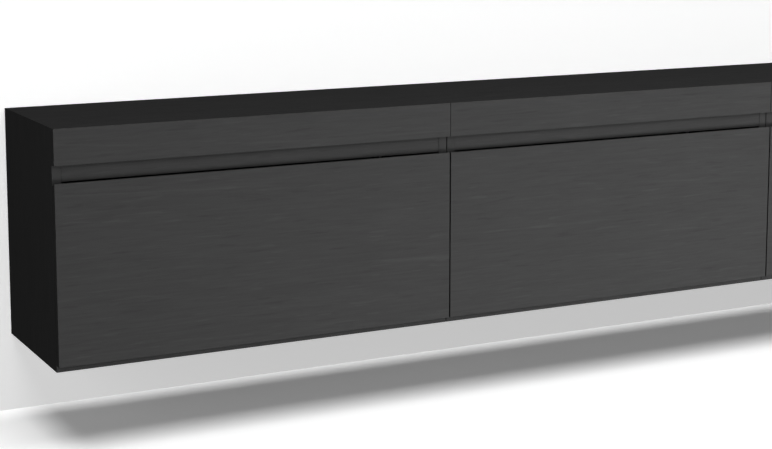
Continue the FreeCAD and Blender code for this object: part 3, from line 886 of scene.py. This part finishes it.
def dowelMaster(length):
    # A fluted beech dowel with chamfered ends, its top at the origin.
    chamfer = dowel["chamfer"]
    obj = addRod("dowel", (0, 0, -length / 2), joinery["dowelRadius"], length - 2 * chamfer,
                 sides=dowel["sides"])
    editNothing(obj, "VERT")
    for vert in obj.data.vertices:
        step = round(math.atan2(vert.co.y, vert.co.x) / math.tau * dowel["sides"])
        vert.select = step % 2 == 0
    bpy.ops.object.mode_set(mode="EDIT")
    bpy.ops.transform.resize(value=(dowel["flute"], dowel["flute"], 1))
    leaveEdit()
    for way in 1, -1:
        pickEnd(obj, way)
        pushOut(chamfer * way, dowel["chamferSpread"])
        leaveEdit()
    return obj


bolt = {"headRadius": 0.007, "head": 0.0015, "rim": 0.0004, "sides": 32,
        "socketRadius": 0.0029, "socketDepth": 0.0035}


def boltMaster(length):
    # A sleeve bolt: flat round heads with hexagon sockets, its top at the origin.
    sleeve = length - 2 * bolt["head"]
    obj = addRod("bolt", (0, 0, -length / 2), joinery["boltRadius"], sleeve, sides=bolt["sides"])
    for way in 1, -1:
        pickEnd(obj, way)
        pushOut(0, bolt["headRadius"] / joinery["boltRadius"])
        pushOut((bolt["head"] - bolt["rim"]) * way, 1)
        pushOut(bolt["rim"] * way, 1 - bolt["rim"] / bolt["headRadius"])
        leaveEdit()
    wide, deep = bolt["socketRadius"], 2 * bolt["socketDepth"]
    cutWith(obj, [addRod("socket", (0, 0, level), wide, deep, sides=6) for level in (0, -length)])
    smoothCurves(obj)
    return obj


bumper = {"rim": 0.0004, "rimSteps": 3, "sides": 24, "curveAngle": math.radians(40)}


def bumperMaster(radius, thick):
    # A soft round pad with a rounded rim, its top at the origin.
    obj = addRod("bumper", (0, 0, -thick / 2), radius, thick, sides=bumper["sides"])
    applyModifier(obj, "BEVEL", width=bumper["rim"], segments=bumper["rimSteps"],
                  limit_method="ANGLE", angle_limit=meshWork["easedAngle"])
    smoothCurves(obj, bumper["curveAngle"])
    return obj


def placeCopies(node, master, seats, material, slot):
    obj = copiesAt(f"{node}_set", master, seats)
    finishPiece(obj, material, "carcass", slot, node)


def makeFasteners():
    for node in "runner_screws", "hanger_screws", "apron_screws":
        seats = seatsOf(node)
        master = screwMaster(seats[0].length)
        placeCopies(node, master, seats, screwSteel, "fastener_steel")
    for bay in bays:
        node = f"drawer_{bay}_screws"
        sets = []
        for isLong in False, True:
            seats = [s for s in drawerScrewSeats[bay] if (s.length > screw["longFrom"]) == isLong]
            sets.append(copiesAt(node, screwMaster(seats[0].length), seats))
        obj = joined(f"{node}_set", sets)
        finishPiece(obj, screwSteel, f"drawer_{bay}", "fastener_steel", node)
    placeCopies("carcass_dowels", dowelMaster(dowelSeats[0].length), dowelSeats,
                beech, "beech_dowel")
    placeCopies("connecting_bolts", boltMaster(boltSeats[0].length), boltSeats,
                screwSteel, "fastener_steel")
    pads = seatsOf("drawer_bumpers", isFlat=True)
    radius = (pads[0].high.x - pads[0].low.x) / 2
    placeCopies("drawer_bumpers", bumperMaster(radius, pads[0].length), pads,
                softRubber, "bumper")


makeSheetMetal()
makeBallStrips()
makeFasteners()
print("hardware made")


room = {
    "floorDrop": 0.172,      # cabinet underside to floor
    "reach": 12.0,           # half size of floor and wall
    "wallRoom": 0.0005,      # wall plane behind the cabinet's back edges
    "white": 0.8,
    "wallGlow": 0.505,       # light that the paint gives off by itself
    "floorGlow": 0.185,
    "fadeFrom": 2.7,         # floor and wall turn plain white between these distances
    "fadeTo": 5.5,
    "worldWhite": 1.0,       # the far distance as the eye sees it
    "worldFill": 0.03,       # and the faint light it sends
}


def backdropFinish(name, glow, isOneSided):
    # White to the eye, but it throws no light back on the cabinet.
    finish = newFinish(name)
    white = room["white"]
    matt = finish.add("ShaderNodeBsdfDiffuse", {}, {"Color": (white, white, white, 1)})
    shine = finish.add("ShaderNodeEmission", {}, {"Strength": glow})
    both = finish.add("ShaderNodeAddShader", {}, (matt, shine))
    away = finish.add("ShaderNodeVectorMath", {"operation": "LENGTH"}, (finish.place(),), "Value")
    start, end = room["fadeFrom"] / room["reach"], room["fadeTo"] / room["reach"]
    far = finish.ramp(away / room["reach"], (start, 0.0), (end, 1.0))
    haze = finish.add("ShaderNodeEmission", {}, {"Strength": room["worldWhite"]})
    paint = finish.add("ShaderNodeMixShader", {}, (far, both, haze))
    clear = finish.add("ShaderNodeBsdfTransparent")
    seen = finish.add("ShaderNodeLightPath", output="Is Camera Ray")
    shown = finish.add("ShaderNodeMixShader", {}, (seen, clear, paint))
    if isOneSided:
        behind = finish.add("ShaderNodeNewGeometry", output="Backfacing")
        shown = finish.add("ShaderNodeMixShader", {}, (behind, shown, clear))
    return finish.finishWith(shown)


def addPlane(name, location, rotation, material):
    clearSelection()
    bpy.ops.mesh.primitive_plane_add(size=2 * room["reach"], location=location,
                                     rotation=rotation)
    obj = nameIt(bpy.context.object, name)
    applyPlace(obj)
    obj.data.materials.append(material)
    return obj


def makeRoom():
    floorLevel = cadLow.z - room["floorDrop"]
    floorPaint = backdropFinish("floor_white", room["floorGlow"], False)
    wallPaint = backdropFinish("wall_white", room["wallGlow"], True)
    floor = addPlane("floor", (0, 0, floorLevel), (0, 0, 0), floorPaint)
    wallCentre = (0, room["wallRoom"], floorLevel + room["reach"])
    wall = addPlane("wall", wallCentre, (math.pi / 2, 0, 0), wallPaint)
    return floor, wall


def makeWorld():
    world = bpy.data.worlds.new("studio")
    bpy.context.scene.world = world
    sky = Sheet(world)
    seen = sky.add("ShaderNodeLightPath", output="Is Camera Ray")
    inputs = {0: seen, 2: room["worldFill"], 3: room["worldWhite"]}
    strength = sky.add("ShaderNodeMix", {}, inputs)
    back = sky.tree.nodes["Background"]
    sky.feed(back.inputs["Strength"], strength)
    sky.feed(back.inputs["Color"], (1, 1, 1, 1))


# name: place, what it points at, width, height, power, whether it lights the room
lamps = {
    "key": ((1.9, -4.3, 2.3), (0, -0.2, -0.1), 2.6, 2.0, 78.0, False),
    "front_top": ((0.3, -1.8, 2.6), (0.3, -0.35, 0), 5.0, 1.0, 38.0, False),
    "bounce": ((1.4, -3.6, -1.6), (0.3, -0.2, -0.1), 5.0, 1.4, 84.0, False),
    "right_bounce": ((2.2, -3.2, -1.0), (0.5, -0.2, -0.1), 2.0, 0.8, 25.0, False),
    "left_fill": ((-4.5, -3.0, 1.0), (-1, 0, 0), 3.0, 3.0, 42.0, False),
    "rear_fill": ((0.6, 4.0, -0.6), (0, 0, -0.2), 3.0, 1.0, 120.0, False),
    "ceiling": ((0, -0.6, 3.0), (0, -0.6, 0), 6.0, 4.4, 370.0, True),
    "room_left": ((-3.4, -1.6, 0.3), (-1.6, -0.1, -0.5), 1.6, 1.6, 18.0, True),
}


def makeLamps(surfaces):
    for name, (place, target, width, height, power, forRoom) in lamps.items():
        data = bpy.data.lights.new(name, "AREA")
        data.shape = "RECTANGLE"
        data.size = width
        data.size_y = height
        data.energy = power
        lamp = bpy.data.objects.new(name, data)
        bpy.context.scene.collection.objects.link(lamp)
        lamp.location = place
        aim = Vector(target) - Vector(place)
        lamp.rotation_euler = aim.to_track_quat("-Z", "Y").to_euler()
        lamp.visible_camera = False
        # A lamp lights either floor and wall, or everything else.
        receivers = bpy.data.collections.new(f"{name}_receivers")
        for surface in surfaces:
            receivers.objects.link(surface)
        lamp.light_linking.receiver_collection = receivers
        for entry in receivers.collection_objects:
            entry.light_linking.link_state = "INCLUDE" if forRoom else "EXCLUDE"


camera = {
    "place": (-2.301, -3.655, 0.546),
    "turn": 27.19,        # degrees to the right of straight at the wall
    "tilt": 7.64,         # degrees downwards
    "lens": 80.2,
    "shiftY": -0.14,
}


def makeCamera():
    data = bpy.data.cameras.new("camera")
    data.lens = camera["lens"]
    data.shift_y = camera["shiftY"]
    obj = bpy.data.objects.new("camera", data)
    bpy.context.scene.collection.objects.link(obj)
    obj.location = camera["place"]
    obj.rotation_euler = (math.radians(90 - camera["tilt"]), 0, -math.radians(camera["turn"]))
    bpy.context.scene.camera = obj


makeWorld()
makeLamps(makeRoom())
makeCamera()
bpy.context.scene.view_settings.view_transform = "Standard"
print("room, light and camera made")
